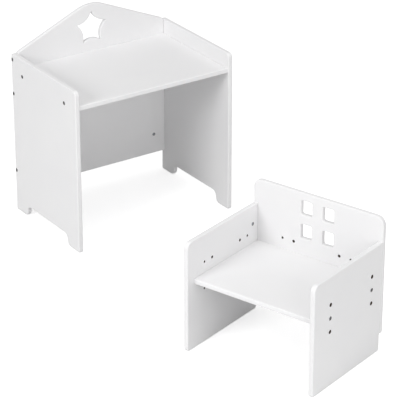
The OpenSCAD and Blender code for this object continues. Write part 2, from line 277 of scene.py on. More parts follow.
def white_lacquer(name, grain_axis):
    """Sprayed satin polyurethane lacquer on fibreboard.

    It is an even, slightly cool white with a soft sheen. The sprayed film leaves a shallow
    orange peel, and cut edges drink more paint, so they are duller and a little rougher.
    """
    material, tree = new_material(name)
    place = add(tree, "ShaderNodeTexCoord").outputs["Object"]
    edge = add(tree, "ShaderNodeAttribute", attribute_name="worked_edge").outputs["Fac"]
    # film thickness drifts over about 120 mm, one pass of the spray gun
    drift = add(tree, "ShaderNodeTexNoise", {"Vector": place, "Scale": 8.0, "Detail": 3.0, "Roughness": 0.45})
    body = add(tree, "ShaderNodeMix", {0: drift.outputs["Fac"], 6: linear("#E6E6E9"), 7: linear("#EDEDEE")},
               data_type="RGBA")
    dull = add(tree, "ShaderNodeMath", {0: edge, 1: 0.35}, operation="MULTIPLY")
    colour = add(tree, "ShaderNodeMix", {0: dull.outputs[0], 6: body.outputs[2], 7: linear("#E9E8E6")},
                 data_type="RGBA")
    # sanding lines under the film run with the board: 1.5 mm apart, stretched to 80 mm
    stretch = [650.0, 650.0, 650.0]
    stretch["XYZ".index(grain_axis)] = 12.0
    lines_place = add(tree, "ShaderNodeMapping", {"Vector": place, "Scale": stretch})
    lines = add(tree, "ShaderNodeTexNoise", {"Vector": lines_place.outputs[0], "Scale": 1.0, "Detail": 2.0})
    # orange peel has a 1.5 mm pitch; it is drawn at 3 mm so that it shows
    peel = add(tree, "ShaderNodeTexNoise", {"Vector": place, "Scale": 330.0, "Detail": 2.0, "Roughness": 0.4})
    # raised fibres on the worked edges, 0.8 mm
    fibres = add(tree, "ShaderNodeTexNoise", {"Vector": place, "Scale": 1200.0, "Detail": 2.0})
    fibre_height = add(tree, "ShaderNodeMath", {0: fibres.outputs["Fac"], 1: edge}, operation="MULTIPLY")
    lines_bump = add(tree, "ShaderNodeBump",
                     {"Strength": 0.035, "Distance": 0.2 * MM, "Height": lines.outputs["Fac"]})
    peel_bump = add(tree, "ShaderNodeBump",
                    {"Strength": 0.09, "Distance": 0.2 * MM, "Height": peel.outputs["Fac"],
                     "Normal": lines_bump.outputs[0]})
    bump = add(tree, "ShaderNodeBump",
               {"Strength": 0.12, "Distance": 0.15 * MM, "Height": fibre_height.outputs[0],
                "Normal": peel_bump.outputs[0]})
    sheen_drift = add(tree, "ShaderNodeMapRange",
                      {"Value": drift.outputs["Fac"], "To Min": 0.36, "To Max": 0.46})
    roughness = add(tree, "ShaderNodeMath", {0: edge, 1: 0.12, 2: sheen_drift.outputs[0]},
                    operation="MULTIPLY_ADD")
    shader = add(tree, "ShaderNodeBsdfPrincipled",
                 {"Base Color": colour.outputs[2], "Roughness": roughness.outputs[0], "IOR": 1.5,
                  "Normal": bump.outputs[0]})
    add(tree, "ShaderNodeOutputMaterial", {"Surface": shader.outputs[0]})
    return material


def fibreboard_with_painted_shade():
    """Medium-density fibreboard as a drill leaves it.

    It is a matt, furry brown with fibres of about a millimetre, coloured darker than bare fibreboard is, so
    that it also paints the shade deep in the bores.
    """
    material, tree = new_material("fibreboard_with_painted_shade")
    place = add(tree, "ShaderNodeTexCoord").outputs["Object"]
    fibres = add(tree, "ShaderNodeTexNoise",
                 {"Vector": place, "Scale": 1100.0, "Detail": 4.0, "Roughness": 0.65})
    colour = add(tree, "ShaderNodeMix",
                 {0: fibres.outputs["Fac"], 6: linear("#453D36"), 7: linear("#6E645A")}, data_type="RGBA")
    bump = add(tree, "ShaderNodeBump",
               {"Strength": 0.5, "Distance": 0.3 * MM, "Height": fibres.outputs["Fac"]})
    shader = add(tree, "ShaderNodeBsdfPrincipled",
                 {"Base Color": colour.outputs[2], "Roughness": 0.85, "Normal": bump.outputs[0]})
    add(tree, "ShaderNodeOutputMaterial", {"Surface": shader.outputs[0]})
    return material


# each bore is (radius, depth) in millimetres, from just above the board's face down
BOLT_BORE = [(6.8, -1), (5.5, 0.3), (5.5, 7), (3.5, 7), (3.5, 16)]  # counterbored, lip eased
DOWEL_HOLE = [(5.3, -1), (4.1, 0.2), (4.1, 10.5), (0.4, 11.5)]
# every bore is lined with bare fibreboard, coloured darker than it is: painted shade in the bores
bore_fibreboard_and_shade = fibreboard_with_painted_shade()
upright_lacquer = white_lacquer("white_lacquer_upright", "Z")

desk_low, desk_high = own_box("desk_left_side", desk_place)
board = desk_high.x - desk_low.x
desk_in = -desk_high.x  # from the middle to the inner face of a side
desk_rear = desk_high.y
foot, arch = 50 * MM, 35 * MM  # length of a foot, height of the arch
top_low, top_high = own_box("desk_top", desk_place)
top_mid = (top_low.z + top_high.z) / 2
rear_mid = desk_rear - board / 2
desk_top_bolts = [-121 * MM, 121 * MM]  # along the depth
desk_top_dowels = [-82 * MM, 82 * MM]
desk_rear_bolts = [134 * MM, 387 * MM, 497 * MM]  # up the rear edge
desk_rear_dowels = [-150 * MM, 150 * MM]  # along the width

ogee = desk_rear - foot - arch / 2  # where each foot's double curve stands upright
side_outline = rounded([
    (-desk_rear, 0, 6 * MM), (-ogee, 0, arch / 2), (-ogee, arch, arch / 2), (ogee, arch, arch / 2),
    (ogee, 0, arch / 2), (desk_rear, 0, 6 * MM), (desk_rear, desk_high.z, 6 * MM),
    (-desk_rear, desk_high.z, 14 * MM)])

for hand, name in ((-1, "left"), (1, "right")):
    outer, inner = hand * -desk_low.x, hand * desk_in
    slab = rounded_slab("X", min(outer, inner), max(outer, inner), side_outline)
    bores = bmesh.new()
    for height in desk_rear_bolts:
        drill(bores, BOLT_BORE, into((outer, rear_mid, height), (-hand, 0, 0)))
    for depth in desk_top_bolts:
        drill(bores, BOLT_BORE, into((outer, depth, top_mid), (-hand, 0, 0)))
    for depth in desk_top_dowels:
        drill(bores, DOWEL_HOLE, into((inner, depth, top_mid), (hand, 0, 0)))
    side = finished_board(f"desk_{name}_side_board", "X", slab, [bores], desk_place, upright_lacquer)
    stands_for(side, f"desk_{name}_side", "desk")

# ---- Desk back panel ---------------------------------------------------------------
# One board between the sides, with a low gable whose ridge is a broad curve, and a
# five-pointed star sawn out under the ridge. It closes the back and keeps the desk square.

EDGE_REACH = 40 * MM  # from the board's edge to its barrel nut
SHANK_BORE = [(3.9, -1), (3.5, 0.2), (3.5, 49)]
NUT_HOLE = [(6.2, -1), (5.0, 0.2), (5.0, 13)]

ridge, slope = 629 * MM, 0.43  # where the two slopes would cross, and their rise in each millimetre
gable_foot = 70 * MM
shoulder = ridge - slope * desk_in
seam_end = desk_high.z - 16 * MM  # the seam with a side ends where the side's corner rounds off
gable_outline = rounded([
    (-desk_in, gable_foot, 0), (desk_in, gable_foot, 0), (desk_in, seam_end, 0),
    (desk_in, shoulder, 10 * MM), (0, ridge, 118 * MM), (-desk_in, shoulder, 10 * MM),
    (-desk_in, seam_end, 0)])


def star_outline(middle, sharp, hollow, nose):
    """Star of five points, up to sharp from its middle, whose ends are then turned by a nose radius.

    Each side is one arc from point to point, which comes within hollow of the middle.
    """
    fifth, half_fifth = math.radians(72), math.radians(36)
    chord, sag = sharp * math.sin(half_fifth), sharp * math.cos(half_fifth) - hollow
    arc = (chord ** 2 + sag ** 2) / (2 * sag)
    away = hollow + arc  # from the middle of the star to the centre of an arc
    # a nose circle touches the two arcs that meet at its point
    out = away * math.cos(half_fifth) - math.sqrt((arc + nose) ** 2 - (away * math.sin(half_fifth)) ** 2)
    outline = []
    for point in range(5):
        aim = math.radians(90) + point * fifth
        tip, next_tip = polar(out, aim), polar(out, aim + fifth)
        before, after = polar(away, aim - half_fifth), polar(away, aim + half_fifth)
        for centre, radius, start, end, steps in (
                (tip, nose, before - tip, after - tip, 8), (after, arc, tip - after, next_tip - after, 12)):
            first = math.atan2(start.y, start.x)
            sweep = (math.atan2(end.y, end.x) - first + math.pi) % math.tau - math.pi
            outline += [middle + centre + polar(radius, first + sweep * k / steps) for k in range(steps)]
    return outline


def polar(radius, angle):
    return Vector((radius * math.cos(angle), radius * math.sin(angle)))


star = star_outline(Vector((0, 541 * MM)), sharp=56 * MM, hollow=33 * MM, nose=1.5 * MM)


def gable_ease(a, b):
    """Edges that butt against the sides stay square."""
    on_side = min(abs(a.x), abs(b.x)) > desk_in - 0.01 * MM
    return SQUARE_EDGE if on_side and max(a.y, b.y) < seam_end + 0.01 * MM else ROUND_OVER


slab = rounded_slab("Y", desk_rear - board, desk_rear, gable_outline, [star], gable_ease)
shanks, nuts = bmesh.new(), bmesh.new()
for hand in (-1, 1):
    for height in desk_rear_bolts:
        drill(shanks, SHANK_BORE, into((hand * desk_in, rear_mid, height), (-hand, 0, 0)))
        # the highest nut goes in from behind, so that it doesn't show above the top
        from_behind = height == desk_rear_bolts[-1]
        mouth = desk_rear if from_behind else desk_rear - board
        way = (0, -1, 0) if from_behind else (0, 1, 0)
        drill(nuts, NUT_HOLE, into((hand * (desk_in - EDGE_REACH), mouth, height), way))
for x in desk_rear_dowels:
    drill(nuts, DOWEL_HOLE, into((x, desk_rear - board, top_mid), (0, 1, 0)))
back = finished_board("desk_back_board", "Y", slab, [shanks, nuts], desk_place, upright_lacquer)
stands_for(back, "desk_back_panel", "desk")

# ---- Desk top ----------------------------------------------------------------------
# The work surface: a plain board held between the sides and against the back panel.
# Its front edge is rounded over; its other edges are square, so that the joints are tight.

DOWEL_EDGE_HOLE = [(4.6, -1), (4.1, 0.2), (4.1, 20.5), (0.4, 21.5)]
level_lacquer = white_lacquer("white_lacquer_level", "X")


def held_board(low, high):
    """Level board held on three sides: only its front edge is rounded over."""
    outline = [Vector(p) for p in ((low.x, low.y), (high.x, low.y), (high.x, high.y), (low.x, high.y))]
    return rounded_slab("Z", low.z, high.z, outline,
                        ease=lambda a, b: ROUND_OVER if a.y == b.y == outline[0].y else SQUARE_EDGE)


slab = held_board(top_low, top_high)
shanks, nuts = bmesh.new(), bmesh.new()
for hand in (-1, 1):
    for depth in desk_top_bolts:
        drill(shanks, SHANK_BORE, into((hand * desk_in, depth, top_mid), (-hand, 0, 0)))
        drill(nuts, NUT_HOLE, into((hand * (desk_in - EDGE_REACH), depth, top_low.z), (0, 0, 1)))
    for depth in desk_top_dowels:
        drill(shanks, DOWEL_EDGE_HOLE, into((hand * desk_in, depth, top_mid), (-hand, 0, 0)))
for x in desk_rear_dowels:
    drill(shanks, DOWEL_EDGE_HOLE, into((x, top_high.y, top_mid), (0, -1, 0)))
top = finished_board("desk_top_board", "Z", slab, [shanks, nuts], desk_place, level_lacquer)
stands_for(top, "desk_top", "desk")

# ---- Chair sides -------------------------------------------------------------------
# Two plain boards that stand on the floor. Each has two columns of three bolt holes, for
# three seat heights, and beside them on the inner face the same rows of dowel holes.

chair_low, chair_high = own_box("chair_left_side", chair_place)
chair_in, chair_rear = -chair_high.x, chair_high.y
seat_low, seat_high = own_box("chair_seat", chair_place)
seat_mid = (seat_low + seat_high) / 2
ROW_PITCH = 40 * MM
rows = [seat_mid.z + step * ROW_PITCH for step in (-1, 0, 1)]
seat_bolts = [seat_mid.y - 98.5 * MM, seat_mid.y + 98.5 * MM]  # along the depth
seat_dowels = [seat_mid.y - 64 * MM, seat_mid.y + 64 * MM]
CHAIR_REACH = 23 * MM  # from a board's edge to its barrel nut
CHAIR_SHANK_BORE = [(3.9, -1), (3.5, 0.2), (3.5, 32)]
backrest_bolts = [110 * MM, 272 * MM]  # up the rear edge of a side
chair_edge = chair_in + board / 2  # from the middle to the middle of a side's thickness

rest_low, rest_high = own_box("chair_backrest", chair_place)
chair_outline = rounded([
    (-chair_rear, 0, 8 * MM), (chair_rear, 0, 8 * MM), (chair_rear, rest_low.z - ROUND_OVER, 0),
    (chair_rear, rest_low.z, 0), (chair_rear, chair_high.z, 0), (-chair_rear, chair_high.z, 18 * MM)])


def chair_side_ease(a, b):
    """The rear edge stays square where it butts against the backrest."""
    on_backrest = min(a.x, b.x) > chair_rear - 0.01 * MM and min(a.y, b.y) > rest_low.z - 0.01 * MM
    return SQUARE_EDGE if on_backrest else ROUND_OVER


for hand, name in ((-1, "left"), (1, "right")):
    outer, inner = hand * -chair_low.x, hand * chair_in
    slab = rounded_slab("X", min(outer, inner), max(outer, inner), chair_outline, ease=chair_side_ease)
    bores, nuts = bmesh.new(), bmesh.new()
    for height in rows:
        for depth in seat_bolts:
            drill(bores, BOLT_BORE, into((outer, depth, height), (-hand, 0, 0)))
        for depth in seat_dowels:
            drill(bores, DOWEL_HOLE, into((inner, depth, height), (hand, 0, 0)))
    for height in backrest_bolts:
        drill(bores, CHAIR_SHANK_BORE, into((hand * chair_edge, chair_rear, height), (0, -1, 0)))
        drill(nuts, NUT_HOLE, into((inner, chair_rear - CHAIR_REACH, height), (hand, 0, 0)))
    side = finished_board(f"chair_{name}_side_board", "X", slab, [bores, nuts], chair_place, upright_lacquer)
    stands_for(side, f"chair_{name}_side", "chair")

# ---- Chair backrest ----------------------------------------------------------------
# A board across the rear ends of the sides, with round upper corners and a window of four
# square panes. Bolts from behind hold it to the sides and to the seat.

pane, pane_gap, window_height = Vector((35, 41)) * MM, 71 * MM, 320 * MM
seat_rear_bolts = [-112 * MM, 112 * MM]
seat_rear_dowels = [-75 * MM, 75 * MM]

REST_CORNER, REST_SMALL_CORNER = 26 * MM, 4 * MM
rest_outline = rounded([
    (rest_low.x, rest_low.z, REST_SMALL_CORNER), (rest_high.x, rest_low.z, REST_SMALL_CORNER),
    (rest_high.x, rest_high.z, REST_CORNER), (rest_low.x, rest_high.z, REST_CORNER)])
panes = []
for column in (-0.5, 0.5):
    for row in (-0.5, 0.5):
        middle = Vector((column * pane_gap, window_height + row * pane_gap))
        panes.append(rounded([
            (middle.x + i * pane.x / 2, middle.y + k * pane.y / 2, REST_SMALL_CORNER)
            for i, k in ((-1, -1), (1, -1), (1, 1), (-1, 1))]))

slab = rounded_slab("Y", rest_low.y, rest_high.y, rest_outline, panes)
bores = bmesh.new()
for height in rows:
    for x in seat_rear_bolts:
        drill(bores, BOLT_BORE, into((x, rest_high.y, height), (0, -1, 0)))
    for x in seat_rear_dowels:
        drill(bores, DOWEL_HOLE, into((x, rest_low.y, height), (0, 1, 0)))
for hand in (-1, 1):
    for height in backrest_bolts:
        drill(bores, BOLT_BORE, into((hand * chair_edge, rest_high.y, height), (0, -1, 0)))
rest = finished_board("chair_backrest_board", "Y", slab, [bores], chair_place, upright_lacquer)
stands_for(rest, "chair_backrest", "chair")

# ---- Chair seat --------------------------------------------------------------------
# A level board like the desk top, held between the sides in their middle row of holes.
# It can be bolted to the row above or below instead, as the child grows.

slab = held_board(seat_low, seat_high)
shanks, nuts = bmesh.new(), bmesh.new()
for hand in (-1, 1):
    for depth in seat_bolts:
        drill(shanks, CHAIR_SHANK_BORE, into((hand * chair_in, depth, seat_mid.z), (-hand, 0, 0)))
        drill(nuts, NUT_HOLE, into((hand * (chair_in - CHAIR_REACH), depth, seat_low.z), (0, 0, 1)))
    for depth in seat_dowels:
        drill(shanks, DOWEL_EDGE_HOLE, into((hand * chair_in, depth, seat_mid.z), (-hand, 0, 0)))
for x in seat_rear_bolts:
    drill(shanks, CHAIR_SHANK_BORE, into((x, seat_high.y, seat_mid.z), (0, -1, 0)))
    drill(nuts, NUT_HOLE, into((x, seat_high.y - CHAIR_REACH, seat_low.z), (0, 0, 1)))
for x in seat_rear_dowels:
    drill(shanks, DOWEL_EDGE_HOLE, into((x, seat_high.y, seat_mid.z), (0, -1, 0)))
seat = finished_board("chair_seat_board", "Z", slab, [shanks, nuts], chair_place, level_lacquer)
stands_for(seat, "chair_seat", "chair")

# ---- Bolts -------------------------------------------------------------------------
# Furniture bolts of zinc-plated steel: cylinder head with a hexagon socket, M6 shank with a
# rolled thread. Each passes through one board and screws into a barrel nut in the next.


def new_tree(name, sizes):
    """Geometry Nodes tree with one named input for each size, and the outputs of its input node."""
    tree = bpy.data.node_groups.new(name, "GeometryNodeTree")
    tree.interface.new_socket("Geometry", in_out="INPUT", socket_type="NodeSocketGeometry")
    for size in sizes:
        tree.interface.new_socket(size, in_out="INPUT", socket_type="NodeSocketFloat")
    tree.interface.new_socket("Geometry", in_out="OUTPUT", socket_type="NodeSocketGeometry")
    return tree, tree.nodes.new("NodeGroupInput").outputs


def turned(tree, profile, sides, flute=None):
    """Closed surface turned about Z, from the (radius, height) pairs down the side of a piece.

    It is a grid with a row for each pair, wrapped round the axis and then joined along its seam.
    """
    grid = add(tree, "GeometryNodeMeshGrid", {"Vertices X": len(profile), "Vertices Y": sides + 1})
    index = add(tree, "GeometryNodeInputIndex")
    nudged = add(tree, "ShaderNodeMath", {0: index, 1: 0.5}, operation="ADD")
    rows_done = add(tree, "ShaderNodeMath", {0: nudged, 1: sides + 1}, operation="DIVIDE")
    row = add(tree, "ShaderNodeMath", {0: rows_done}, operation="FLOOR")
    step = add(tree, "ShaderNodeMath", {0: index, 1: sides + 1}, operation="MODULO")
    angle = add(tree, "ShaderNodeMath", {0: step, 1: math.tau / sides}, operation="MULTIPLY")
    picks = []
    for column in (0, 1):
        pick = add(tree, "GeometryNodeIndexSwitch", data_type="FLOAT")
        while len(pick.index_switch_items) < len(profile):
            pick.index_switch_items.new()
        feed(tree, pick, {"Index": row, **{i + 1: pair[column] for i, pair in enumerate(profile)}})
        picks.append(pick)
    radius, height = picks
    if flute:
        radius = add(tree, "ShaderNodeMath", {0: radius, 1: flute(tree, angle)}, operation="MULTIPLY")
    cosine = add(tree, "ShaderNodeMath", {0: angle}, operation="COSINE")
    sine = add(tree, "ShaderNodeMath", {0: angle}, operation="SINE")
    x = add(tree, "ShaderNodeMath", {0: radius, 1: cosine}, operation="MULTIPLY")
    y = add(tree, "ShaderNodeMath", {0: radius, 1: sine}, operation="MULTIPLY")
    place = add(tree, "ShaderNodeCombineXYZ", {"X": x, "Y": y, "Z": height})
    wrapped = add(tree, "GeometryNodeSetPosition", {"Geometry": grid, "Position": place})
    joined = add(tree, "GeometryNodeMergeByDistance", {"Geometry": wrapped, "Distance": 0.001 * MM})
    return add(tree, "GeometryNodeFlipFaces", {"Mesh": joined})


def on_every_point(tree, entry, solid, material):
    """Ends a tree: a copy of the solid on each point, its Z along aim and its X along across."""
    angle = tree.nodes.new("GeometryNodeInputMeshEdgeAngle").outputs["Unsigned Angle"]
    crisp = add(tree, "FunctionNodeCompare", {"A": angle, "B": math.radians(30)}, operation="GREATER_THAN")
    edged = add(tree, "GeometryNodeSetShadeSmooth", {"Geometry": solid, "Shade Smooth": True})
    sharp = add(tree, "GeometryNodeStoreNamedAttribute",
                {"Geometry": edged.outputs[0], "Name": "sharp_edge", "Value": crisp.outputs[0]},
                data_type="BOOLEAN", domain="EDGE")
    own = add(tree, "GeometryNodeStoreNamedAttribute",
              {"Geometry": sharp.outputs[0], "Name": "own_place",
               "Value": tree.nodes.new("GeometryNodeInputPosition").outputs[0]},
              data_type="FLOAT_VECTOR", domain="POINT")
    aim, across = [
        add(tree, "GeometryNodeInputNamedAttribute", {"Name": name}, data_type="FLOAT_VECTOR").outputs[0]
        for name in ("aim", "across")]
    turn = add(tree, "FunctionNodeAxesToRotation", {"Primary Axis": aim, "Secondary Axis": across},
               primary_axis="Z", secondary_axis="X")
    copies = add(tree, "GeometryNodeInstanceOnPoints",
                 {"Points": entry["Geometry"], "Instance": own.outputs[0], "Rotation": turn.outputs[0]})
    real = add(tree, "GeometryNodeRealizeInstances", {"Geometry": copies.outputs[0]})
    done = add(tree, "GeometryNodeSetMaterial", {"Geometry": real.outputs[0], "Material": material})
    leave = tree.nodes.new("NodeGroupOutput")
    tree.links.new(done.outputs[0], leave.inputs[0])


def fasteners(node, tree, sizes, body, place, spots):
    """One mesh of a tree's piece at every (point, aim, across), in place of the design's node."""
    mesh = bpy.data.meshes.new(node)
    mesh.from_pydata([place @ Vector(point) for point, _, _ in spots], [], [])
    for column, name in ((1, "aim"), (2, "across")):
        ways = [x for spot in spots for x in place.to_3x3() @ Vector(spot[column])]
        mesh.attributes.new(name, "FLOAT_VECTOR", "POINT").data.foreach_set("vector", ways)
    group = bpy.data.objects.new(f"{node}_made", mesh)
    scene.collection.objects.link(group)
    modifier = group.modifiers.new(tree.name, "NODES")
    modifier.node_group = tree
    for socket in tree.interface.items_tree:
        if socket.name in sizes:
            modifier[socket.identifier] = sizes[socket.name]
    bake_modifiers(group)
    stands_for(group, node, body)


def zinc_plated_steel(name, thread):
    """Turned mild steel with zinc plating.

    It is a mid grey, slightly blue metal, a little cloudy where the passivated film is thicker,
    with fine turning marks round it, and an M6 bolt also has a thread of 1 mm pitch.
    """
    material, tree = new_material(name)
    own = add(tree, "ShaderNodeAttribute", attribute_name="own_place").outputs["Vector"]
    cloud = add(tree, "ShaderNodeTexNoise", {"Vector": own, "Scale": 420.0, "Detail": 3.0})
    colour = add(tree, "ShaderNodeMix",
                 {0: cloud.outputs["Fac"], 6: linear("#8F949B"), 7: linear("#ADB0B4")}, data_type="RGBA")
    roughness = add(tree, "ShaderNodeMapRange",
                    {"Value": cloud.outputs["Fac"], "To Min": 0.26, "To Max": 0.44})
    # a wave's period is 0.314 over its scale, so 1570 draws turning marks 0.2 mm apart, and 314 a thread
    marks = add(tree, "ShaderNodeTexWave",
                {"Vector": own, "Scale": 314.0 if thread else 1570.0, "Distortion": 0.4},
                bands_direction="Z")
    bump = add(tree, "ShaderNodeBump", {"Strength": 0.8 if thread else 0.15, "Distance": 0.3 * MM,
                                        "Height": marks.outputs["Fac"]})
    shader = add(tree, "ShaderNodeBsdfPrincipled",
                 {"Base Color": colour.outputs[2], "Metallic": 1.0, "Roughness": roughness.outputs[0],
                  "Normal": bump.outputs[0]})
    add(tree, "ShaderNodeOutputMaterial", {"Surface": shader.outputs[0]})
    return material


bolt_tree, bolt_in = new_tree("socket_head_bolt", [
    "Head Radius", "Head Depth", "Shank Radius", "Shank Length", "Socket Radius", "Socket Depth", "Edge"])
head_r, head_h, shank_r = (bolt_in[size] for size in ("Head Radius", "Head Depth", "Shank Radius"))
edge = bolt_in["Edge"]
rim_r = add(bolt_tree, "ShaderNodeMath", {0: head_r, 1: edge}, operation="SUBTRACT")
rim_h = add(bolt_tree, "ShaderNodeMath", {0: head_h, 1: edge}, operation="SUBTRACT")
tip_h = add(bolt_tree, "ShaderNodeMath", {0: head_h, 1: bolt_in["Shank Length"]}, operation="ADD")
tip_r = add(bolt_tree, "ShaderNodeMath", {0: shank_r, 1: 0.8 * MM}, operation="SUBTRACT")
lead_in = add(bolt_tree, "ShaderNodeMath", {0: tip_h, 1: 1 * MM}, operation="SUBTRACT")
bolt = turned(bolt_tree, [(0, 0), (rim_r, 0), (head_r, edge), (head_r, rim_h), (rim_r, head_h),
                          (shank_r, head_h), (shank_r, lead_in), (tip_r, tip_h), (0, tip_h)], sides=36)
# the socket's cutter is a hexagon that stands half in the head and half out of it
cutter_h = add(bolt_tree, "ShaderNodeMath", {0: bolt_in["Socket Depth"], 1: 2}, operation="MULTIPLY")
hexagon = add(bolt_tree, "GeometryNodeMeshCylinder",
              {"Vertices": 6, "Radius": bolt_in["Socket Radius"], "Depth": cutter_h})
socketed = add(bolt_tree, "GeometryNodeMeshBoolean", {"Mesh 1": bolt, "Mesh 2": hexagon},
               operation="DIFFERENCE", solver="EXACT")
on_every_point(bolt_tree, bolt_in, socketed, zinc_plated_steel("zinc_plated_bolt_steel", thread=True))

HEAD_BELOW = 1.5 * MM  # from the board's face down to the head
HEAD_DEPTH = 5.5 * MM
PAST_NUT = 7 * MM  # from the nut's axis to the bolt's tip
bolt_sizes = {"Head Radius": 5 * MM, "Head Depth": HEAD_DEPTH, "Shank Radius": 3 * MM,
              "Socket Radius": 2.5 * MM / math.cos(math.radians(30)), "Socket Depth": 3.5 * MM,
              "Edge": 0.5 * MM}


def bolts(node, body, place, reach, spots):
    """Bolts driven from (point, aim) spots on a board's face to a nut that lies reach inside the next."""
    sunk = [(Vector(point) + Vector(aim) * HEAD_BELOW, aim, (0, 0, 1)) for point, aim in spots]
    length = board + reach + PAST_NUT - HEAD_BELOW - HEAD_DEPTH
    fasteners(node, bolt_tree, {**bolt_sizes, "Shank Length": length}, body, place, sunk)


for hand, name in ((-1, "left"), (1, "right")):
    inward, face = (-hand, 0, 0), hand * -desk_low.x
    bolts(f"desk_{name}_bolts", "desk", desk_place, EDGE_REACH,
          [((face, rear_mid, z), inward) for z in desk_rear_bolts]
          + [((face, y, top_mid), inward) for y in desk_top_bolts])
    bolts(f"chair_{name}_bolts", "chair", chair_place, CHAIR_REACH,
          [((hand * -chair_low.x, y, seat_mid.z), inward) for y in seat_bolts])
bolts("chair_rear_seat_bolts", "chair", chair_place, CHAIR_REACH,
      [((x, rest_high.y, seat_mid.z), (0, -1, 0)) for x in seat_rear_bolts])
bolts("chair_rear_side_bolts", "chair", chair_place, CHAIR_REACH,
      [((x, rest_high.y, z), (0, -1, 0)) for x in (-chair_edge, chair_edge) for z in backrest_bolts])

# ---- Barrel nuts -------------------------------------------------------------------
# Zinc-plated steel cylinders, tapped across for the bolt. A screwdriver slot in the end
# that shows turns the nut until its thread meets the bolt.

NUT_BELOW = 0.6 * MM  # from the board's face down to the nut


def pin(tree, entry, sides, flute=None):
    """Round pin, bevelled at both ends, from its tree's Radius, Length and Edge."""
    radius, length, edge = entry["Radius"], entry["Length"], entry["Edge"]
    rim = add(tree, "ShaderNodeMath", {0: radius, 1: edge}, operation="SUBTRACT")
    bevel = add(tree, "ShaderNodeMath", {0: length, 1: edge}, operation="SUBTRACT")
    return turned(tree, [(0, 0), (rim, 0), (radius, edge), (radius, bevel), (rim, length), (0, length)],
                  sides, flute)


nut_tree, nut_in = new_tree("barrel_nut", [
    "Radius", "Length", "Thread Height", "Thread Radius", "Slot Width", "Slot Depth", "Edge"])
nut = pin(nut_tree, nut_in, sides=40)
cutter_reach = add(nut_tree, "ShaderNodeMath", {0: nut_in["Radius"], 1: 3}, operation="MULTIPLY")
slot_h = add(nut_tree, "ShaderNodeMath", {0: nut_in["Slot Depth"], 1: 2}, operation="MULTIPLY")
slot_size = add(nut_tree, "ShaderNodeCombineXYZ", {"X": cutter_reach, "Y": nut_in["Slot Width"], "Z": slot_h})
slot = add(nut_tree, "GeometryNodeMeshCube", {"Size": slot_size})
tap = add(nut_tree, "GeometryNodeMeshCylinder",
          {"Vertices": 32, "Radius": nut_in["Thread Radius"], "Depth": cutter_reach})
tap_place = add(nut_tree, "ShaderNodeCombineXYZ", {"Z": nut_in["Thread Height"]})
level_tap = add(nut_tree, "GeometryNodeTransform",
                {"Geometry": tap, "Translation": tap_place, "Rotation": (0, math.radians(90), 0)})
tapped = add(nut_tree, "GeometryNodeMeshBoolean", {"Mesh 1": nut, "Mesh 2": slot},
             operation="DIFFERENCE", solver="EXACT")
nut_tree.links.new(level_tap.outputs[0], tapped.inputs["Mesh 2"])
on_every_point(nut_tree, nut_in, tapped, zinc_plated_steel("zinc_plated_nut_steel", thread=False))

nut_sizes = {"Radius": 4.9 * MM, "Length": 12.4 * MM, "Thread Height": board / 2 - NUT_BELOW,
             "Thread Radius": 3.1 * MM, "Slot Width": 1.4 * MM, "Slot Depth": 1.2 * MM, "Edge": 0.4 * MM}


def barrel_nuts(node, body, place, spots):
    """Nuts pushed in at (point, aim, bolt way) spots on a board's face."""
    sunk = [(Vector(point) + Vector(aim) * NUT_BELOW, aim, way) for point, aim, way in spots]
    fasteners(node, nut_tree, nut_sizes, body, place, sunk)


SIDEWAYS, DEEP, UP = (1, 0, 0), (0, 1, 0), (0, 0, 1)
desk_nut_x, chair_nut_x = desk_in - EDGE_REACH, chair_in - CHAIR_REACH
barrel_nuts("desk_top_barrel_nuts", "desk", desk_place, [
    ((hand * desk_nut_x, y, top_low.z), UP, SIDEWAYS) for hand in (-1, 1) for y in desk_top_bolts])
barrel_nuts("desk_back_barrel_nuts", "desk", desk_place, [
    ((hand * desk_nut_x, desk_rear, z), (0, -1, 0), SIDEWAYS) if z == desk_rear_bolts[-1]
    else ((hand * desk_nut_x, desk_rear - board, z), DEEP, SIDEWAYS)
    for hand in (-1, 1) for z in desk_rear_bolts])
barrel_nuts("chair_seat_barrel_nuts", "chair", chair_place, [
    *[((hand * chair_nut_x, y, seat_low.z), UP, SIDEWAYS) for hand in (-1, 1) for y in seat_bolts],
    *[((x, seat_high.y - CHAIR_REACH, seat_low.z), UP, DEEP) for x in seat_rear_bolts]])
barrel_nuts("chair_side_barrel_nuts", "chair", chair_place, [
    ((hand * chair_in, chair_rear - CHAIR_REACH, z), (hand, 0, 0), DEEP)
    for hand in (-1, 1) for z in backrest_bolts])

# ---- Dowels ------------------------------------------------------------------------
# Fluted beech pins, pressed dry into both boards of a joint. They place the boards and
# keep them from turning while the bolts pull them together.

DOWEL_IN_FACE = 10 * MM  # how far a dowel goes into the board that it stands in


